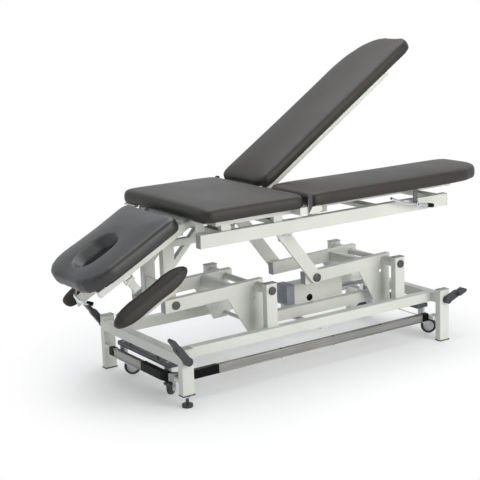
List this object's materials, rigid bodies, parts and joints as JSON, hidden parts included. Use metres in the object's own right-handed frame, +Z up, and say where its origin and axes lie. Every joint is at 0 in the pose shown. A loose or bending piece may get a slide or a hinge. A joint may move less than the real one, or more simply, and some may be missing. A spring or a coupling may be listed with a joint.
{
  "type": "electric treatment couch",
  "caption": "Treatment couch on a height-adjustable parallelogram base, with a face-hole head section, seat, split leg sections, drop armrests and a foot switch bar.",
  "frame": {"origin": "Centre of the bounding box's underside, on the floor.", "axes": "+X along the couch from head end to foot end, +Y from the near side of the picture to the far side, +Z up."},
  "size_m": [1.8156, 0.6786, 1.2183],
  "materials": {
    "frame_paint": "satin",
    "cushion_vinyl": "satin",
    "dark_plastic": "matte",
    "grey_paint": "satin",
    "zinc_steel": "satin",
    "chrome": "polished",
    "aluminium": "satin",
    "black_rubber": "matte",
    "castor_tread": "matte"
  },
  "bodies": {
    "base": {"end_frame_head": "frame_paint", "end_frame_foot": "frame_paint", "base_rail_near": "frame_paint", "base_rail_far": "frame_paint", "pivot_shaft_head": "zinc_steel", "pivot_shaft_foot": "zinc_steel", "actuator_carrier": "frame_paint", "actuator_housing": "frame_paint"},
    "lift_arm_head": {"lift_arm_head": "frame_paint"},
    "lift_arm_foot": {"lift_arm_foot": "frame_paint"},
    "tie_bar": {"tie_bar": "frame_paint"},
    "actuator_rod": {"actuator_rod": "chrome"},
    "top": {"top_frame": "frame_paint", "upper_pivot": "zinc_steel", "seat_frame": "frame_paint", "seat_cushion": "cushion_vinyl"},
    "head": {"head_frame": "frame_paint", "head_cushion": "cushion_vinyl"},
    "head_lever": {"head_lever": "chrome"},
    "levelling_foot": {"levelling_foot": "dark_plastic"},
    "foot_bar": {"foot_bar_near": "aluminium", "foot_bar_head": "aluminium", "foot_bar_corner_head": "black_rubber", "foot_bar_corner_near": "black_rubber", "foot_bar_link": "aluminium", "foot_bar_end_foot": "black_rubber", "foot_bar_end_head": "black_rubber"},
    "head_stay_barrel": {"head_stay_barrel": "zinc_steel"},
    "head_stay_rod": {"head_stay_rod": "chrome"},
    "leg_near": {"leg_frame_near": "frame_paint", "leg_cushion_near": "cushion_vinyl"},
    "leg_lever_near": {"leg_lever_near": "chrome"},
    "leg_stay_near_barrel": {"leg_stay_near_barrel": "zinc_steel"},
    "leg_stay_near_rod": {"leg_stay_near_rod": "chrome"},
    "armrest_near": {"armrest_bracket_near": "frame_paint", "armrest_cushion_near": "cushion_vinyl"},
    "leg_far": {"leg_frame_far": "frame_paint", "leg_cushion_far": "cushion_vinyl"},
    "leg_lever_far": {"leg_lever_far": "chrome"},
    "leg_stay_far_barrel": {"leg_stay_far_barrel": "zinc_steel"},
    "leg_stay_far_rod": {"leg_stay_far_rod": "chrome"},
    "armrest_far": {"armrest_bracket_far": "frame_paint", "armrest_cushion_far": "cushion_vinyl"},
    "pedal_head": {"castor_shaft_head": "zinc_steel", "pedal_head_near": "dark_plastic", "pedal_head_far": "dark_plastic"},
    "castor_bar_head": {"castor_bar_head": "grey_paint"},
    "castor_fork_head_near": {"castor_fork_head_near": "zinc_steel"},
    "castor_wheel_head_near": {"castor_wheel_head_near": "castor_tread"},
    "castor_fork_head_far": {"castor_fork_head_far": "zinc_steel"},
    "castor_wheel_head_far": {"castor_wheel_head_far": "castor_tread"},
    "pedal_foot": {"castor_shaft_foot": "zinc_steel", "pedal_foot_near": "dark_plastic", "pedal_foot_far": "dark_plastic"},
    "castor_bar_foot": {"castor_bar_foot": "grey_paint"},
    "castor_fork_foot_near": {"castor_fork_foot_near": "zinc_steel"},
    "castor_wheel_foot_near": {"castor_wheel_foot_near": "castor_tread"},
    "castor_fork_foot_far": {"castor_fork_foot_far": "zinc_steel"},
    "castor_wheel_foot_far": {"castor_wheel_foot_far": "castor_tread"}
  },
  "joints": [
    {"name": "lift", "type": "hinge", "parent": "base", "child": "lift_arm_head", "pos_m": [-0.16618, 0, 0.335], "axis": [0, 1, 0], "range_deg": [-22, 38]},
    {"name": "lift_foot", "type": "hinge", "parent": "base", "child": "lift_arm_foot", "pos_m": [0.46882, 0, 0.335], "axis": [0, 1, 0], "range_deg": [-22, 38]},
    {"name": "top_level", "type": "hinge", "parent": "lift_arm_head", "child": "top", "pos_m": [-0.52702, 0, 0.32429], "axis": [0, 1, 0], "range_deg": [-38, 22]},
    {"name": "tie_level", "type": "hinge", "parent": "lift_arm_head", "child": "tie_bar", "pos_m": [-0.16161, 0, 0.18107], "axis": [0, 1, 0], "range_deg": [-38, 22]},
    {"name": "actuator_stroke", "type": "slide", "parent": "base", "child": "actuator_rod", "axis": [1, 0, 0], "range_m": [-0.101, 0.059]},
    {"name": "head_tilt", "type": "hinge", "parent": "top", "child": "head", "pos_m": [-0.46018, 0, 0.6325], "axis": [0, 1, 0], "range_deg": [0, 30]},
    {"name": "head_stay_swing", "type": "hinge", "parent": "top", "child": "head_stay_barrel", "pos_m": [-0.44868, 0.1475, 0.5231], "axis": [0, 1, 0], "range_deg": [0, 15]},
    {"name": "head_stay_stroke", "type": "slide", "parent": "head_stay_barrel", "child": "head_stay_rod", "axis": [-0.9336, 0, 0.3584], "range_m": [0, 0.0475]},
    {"name": "head_lever_pull", "type": "hinge", "parent": "head", "child": "head_lever", "pos_m": [-0.80651, 0.06, 0.42117], "axis": [0, 1, 0], "range_deg": [0, 10], "stiffness_Nm_per_rad": 1, "springref_deg": -17.19},
    {"name": "leg_tilt_near", "type": "hinge", "parent": "top", "child": "leg_near", "pos_m": [-0.04818, 0, 0.686], "axis": [0, -1, 0], "range_deg": [0, 65]},
    {"name": "leg_stay_near_swing", "type": "hinge", "parent": "top", "child": "leg_stay_near_barrel", "pos_m": [-0.07944, -0.165, 0.50874], "axis": [0, -1, 0], "range_deg": [0, 32.5]},
    {"name": "leg_stay_near_stroke", "type": "slide", "parent": "leg_stay_near_barrel", "child": "leg_stay_near_rod", "axis": [0.8949, 0, 0.4462], "range_m": [0, 0.122]},
    {"name": "leg_lever_near_pull", "type": "hinge", "parent": "leg_near", "child": "leg_lever_near", "pos_m": [0.49782, -0.29, 0.585], "axis": [0, -1, 0], "range_deg": [0, 10], "stiffness_Nm_per_rad": 1.5, "springref_deg": -17.19},
    {"name": "armrest_near_raise", "type": "hinge", "parent": "head", "child": "armrest_near", "pos_m": [-0.4461, -0.15, 0.60601], "axis": [-0.8829, 0, -0.4695], "range_deg": [0, 60]},
    {"name": "leg_tilt_far", "type": "hinge", "parent": "top", "child": "leg_far", "pos_m": [-0.04818, 0, 0.686], "axis": [0, -1, 0], "range_deg": [-33.5, 31.5]},
    {"name": "leg_stay_far_swing", "type": "hinge", "parent": "top", "child": "leg_stay_far_barrel", "pos_m": [-0.07944, 0.165, 0.50874], "axis": [0, -1, 0], "range_deg": [-16.75, 15.75]},
    {"name": "leg_stay_far_stroke", "type": "slide", "parent": "leg_stay_far_barrel", "child": "leg_stay_far_rod", "axis": [0.7284, 0, 0.6852], "range_m": [-0.063, 0.0592]},
    {"name": "leg_lever_far_pull", "type": "hinge", "parent": "leg_far", "child": "leg_lever_far", "pos_m": [0.46287, 0.29, 0.90314], "axis": [0, -1, 0], "range_deg": [0, 10], "stiffness_Nm_per_rad": 1.5, "springref_deg": -17.19},
    {"name": "armrest_far_raise", "type": "hinge", "parent": "head", "child": "armrest_far", "pos_m": [-0.4461, 0.15, 0.60601], "axis": [0.8829, 0, 0.4695], "range_deg": [0, 60]},
    {"name": "pedal_head_press", "type": "hinge", "parent": "base", "child": "pedal_head", "pos_m": [-0.60218, 0, 0.175], "axis": [0, -1, 0], "range_deg": [0, 55]},
    {"name": "castor_head_drop", "type": "slide", "parent": "base", "child": "castor_bar_head", "axis": [0, 0, -1], "range_m": [0, 0.00816]},
    {"name": "castor_head_near_swivel", "type": "hinge", "parent": "castor_bar_head", "child": "castor_fork_head_near", "pos_m": [-0.59718, -0.165, 0], "axis": [0, 0, 1], "continuous": true},
    {"name": "castor_head_near_roll", "type": "hinge", "parent": "castor_fork_head_near", "child": "castor_wheel_head_near", "pos_m": [-0.57597, -0.14379, 0.0355], "axis": [-0.7071, 0.7071, 0], "continuous": true},
    {"name": "castor_head_far_swivel", "type": "hinge", "parent": "castor_bar_head", "child": "castor_fork_head_far", "pos_m": [-0.59718, 0.165, 0], "axis": [0, 0, 1], "continuous": true},
    {"name": "castor_head_far_roll", "type": "hinge", "parent": "castor_fork_head_far", "child": "castor_wheel_head_far", "pos_m": [-0.57231, 0.14822, 0.0355], "axis": [0.5592, 0.829, 0], "continuous": true},
    {"name": "pedal_foot_press", "type": "hinge", "parent": "base", "child": "pedal_foot", "pos_m": [0.63782, 0, 0.175], "axis": [0, 1, 0], "range_deg": [0, 55]},
    {"name": "castor_foot_drop", "type": "slide", "parent": "base", "child": "castor_bar_foot", "axis": [0, 0, -1], "range_m": [0, 0.00816]},
    {"name": "castor_foot_near_swivel", "type": "hinge", "parent": "castor_bar_foot", "child": "castor_fork_foot_near", "pos_m": [0.63282, -0.165, 0], "axis": [0, 0, 1], "continuous": true},
    {"name": "castor_foot_near_roll", "type": "hinge", "parent": "castor_fork_foot_near", "child": "castor_wheel_foot_near", "pos_m": [0.65476, -0.18546, 0.0355], "axis": [0.682, 0.7314, 0], "continuous": true},
    {"name": "castor_foot_far_swivel", "type": "hinge", "parent": "castor_bar_foot", "child": "castor_fork_foot_far", "pos_m": [0.63282, 0.165, 0], "axis": [0, 0, 1], "continuous": true},
    {"name": "castor_foot_far_roll", "type": "hinge", "parent": "castor_fork_foot_far", "child": "castor_wheel_foot_far", "pos_m": [0.60684, 0.18, 0.0355], "axis": [-0.5, -0.866, 0], "continuous": true},
    {"name": "foot_bar_press", "type": "slide", "parent": "base", "child": "foot_bar", "axis": [0, 0, 1], "range_m": [-0.005, 0.005], "stiffness_N_per_m": 9000, "springref_m": 0.0027},
    {"name": "levelling_screw", "type": "hinge", "parent": "base", "child": "levelling_foot", "pos_m": [-0.59718, -0.29, 0], "axis": [0, 0, 1], "continuous": true}
  ],
  "couplings": [
    {"joint": "lift_foot", "follows": "lift", "ratio": 1},
    {"joint": "top_level", "follows": "lift", "ratio": -1},
    {"joint": "tie_level", "follows": "lift", "ratio": -1},
    {"joint": "actuator_stroke", "follows": "lift", "m_per_rad": -0.15},
    {"joint": "head_stay_swing", "follows": "head_tilt", "ratio": 0.5},
    {"joint": "head_stay_stroke", "follows": "head_tilt", "m_per_rad": 0.0903},
    {"joint": "leg_stay_near_swing", "follows": "leg_tilt_near", "ratio": 0.5},
    {"joint": "leg_stay_near_stroke", "follows": "leg_tilt_near", "m_per_rad": 0.1075},
    {"joint": "leg_stay_far_swing", "follows": "leg_tilt_far", "ratio": 0.5},
    {"joint": "leg_stay_far_stroke", "follows": "leg_tilt_far", "m_per_rad": 0.1075},
    {"joint": "pedal_head_press", "follows": "castor_head_drop", "rad_per_m": 117.65},
    {"joint": "pedal_foot_press", "follows": "castor_foot_drop", "rad_per_m": 117.65}
  ]
}
